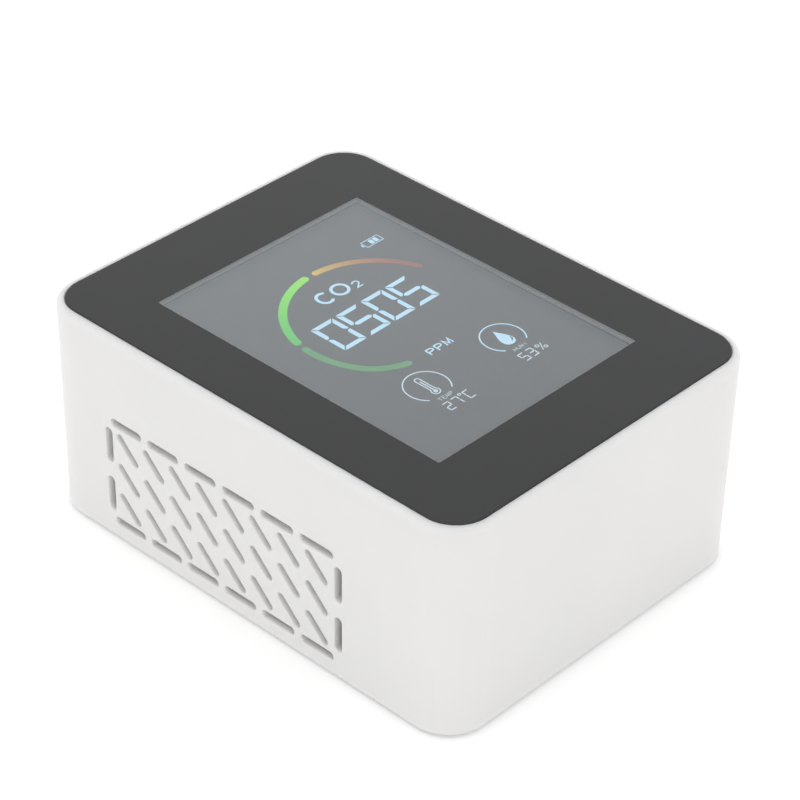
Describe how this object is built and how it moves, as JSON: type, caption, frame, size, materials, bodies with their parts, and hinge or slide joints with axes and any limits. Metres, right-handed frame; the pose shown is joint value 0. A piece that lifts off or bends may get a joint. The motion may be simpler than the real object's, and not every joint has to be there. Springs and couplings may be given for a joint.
{
  "type": "air quality monitor",
  "caption": "Box-shaped desk air monitor: glass-covered display in a white housing with slotted side vents, a rear cover on rubber feet, a press button and a charging inlet.",
  "frame": {"origin": "middle of the footprint, on the plane of the rubber feet, with the monitor on its back", "axes": "+X to the display's right, +Y to the display's top, +Z out of the display"},
  "size_m": [0.0756, 0.098, 0.043],
  "materials": {
    "white_plastic": "fine spark texture, satin",
    "button_plastic": "satin",
    "cover_glass": "clear, polished edge",
    "border_ink": "smooth printed ink behind glass",
    "black_tape": "matt",
    "gasket_foam": "closed-cell foam",
    "polarizer_film": "smooth film",
    "display_glass": "thin polished glass",
    "chip_black": "moulded epoxy",
    "tray_plastic": "satin",
    "diffuser_film": "frosted",
    "light_guide": "polished acrylic",
    "reflector_film": "bright film",
    "lamp": "clear resin",
    "black_foam": "soft foam",
    "ribbon_film": "amber film",
    "connector_plastic": "moulded",
    "connector_black": "moulded",
    "screw_steel": "zinc plated",
    "socket_steel": "drawn and plated",
    "board_laminate": "green solder mask",
    "capacitor_ceramic": "fired ceramic",
    "gilded_contacts": "gold plated",
    "gilded_chamber": "gold coloured, polished",
    "membrane_white": "porous film",
    "battery_foil": "laminated foil",
    "wire_red": "soft insulation",
    "wire_black": "soft insulation",
    "foot_rubber": "matt rubber"
  },
  "bodies": {
    "root": {"backlight_diffuser": "diffuser_film", "backlight_frame": "tray_plastic", "backlight_leds": "lamp", "backlight_light_guide": "light_guide", "backlight_reflector": "reflector_film", "battery_cell": "battery_foil", "battery_guard_board": "board_laminate", "battery_plug": "connector_plastic", "battery_socket": "connector_plastic", "battery_tape": "black_tape", "battery_wire_black": "wire_black", "battery_wire_red": "wire_red", "board_screws": "screw_steel", "border_print": "border_ink", "buzzer": "chip_black", "charger_chip": "chip_black", "chip_capacitors": "capacitor_ceramic", "co2_filter_membrane": "membrane_white", "co2_sensor_board": "board_laminate", "co2_sensor_chamber": "gilded_chamber", "co2_sensor_pins": "gilded_contacts", "cover_glass": "cover_glass", "glass_tape": "black_tape", "housing": "white_plastic", "lcd_driver_chip": "chip_black", "lcd_flex_cable": "ribbon_film", "lcd_flex_connector": "connector_plastic", "lcd_foam_pad": "black_foam", "lcd_front_glass": "display_glass", "lcd_front_polarizer": "polarizer_film", "lcd_gasket": "gasket_foam", "lcd_rear_glass": "display_glass", "lcd_rear_polarizer": "polarizer_film", "main_board": "board_laminate", "microcontroller": "chip_black", "power_inductor": "chip_black", "rear_cover": "white_plastic", "rear_cover_screws": "screw_steel", "rubber_foot_1": "foot_rubber", "rubber_foot_2": "foot_rubber", "rubber_foot_3": "foot_rubber", "rubber_foot_4": "foot_rubber", "switch_body": "connector_black", "switch_cover": "socket_steel", "switch_dome": "socket_steel", "temp_humidity_sensor": "chip_black", "usb_socket_contacts": "gilded_contacts", "usb_socket_shell": "socket_steel", "usb_socket_tongue": "connector_black"},
    "button": {"power_button": "button_plastic"},
    "plunger": {"switch_plunger": "connector_plastic"}
  },
  "joints": [
    {"name": "button_press", "type": "slide", "parent": "root", "child": "button", "axis": [-1, 0, 0], "range_m": [0, 0.0004], "stiffness_N_per_m": 600, "springref_m": -0.0004},
    {"name": "plunger_press", "type": "slide", "parent": "root", "child": "plunger", "axis": [-1, 0, 0], "range_m": [0, 0.0004], "deforming": ["switch_dome"]}
  ],
  "couplings": [
    {"joint": "plunger_press", "follows": "button_press", "ratio": 1}
  ]
}
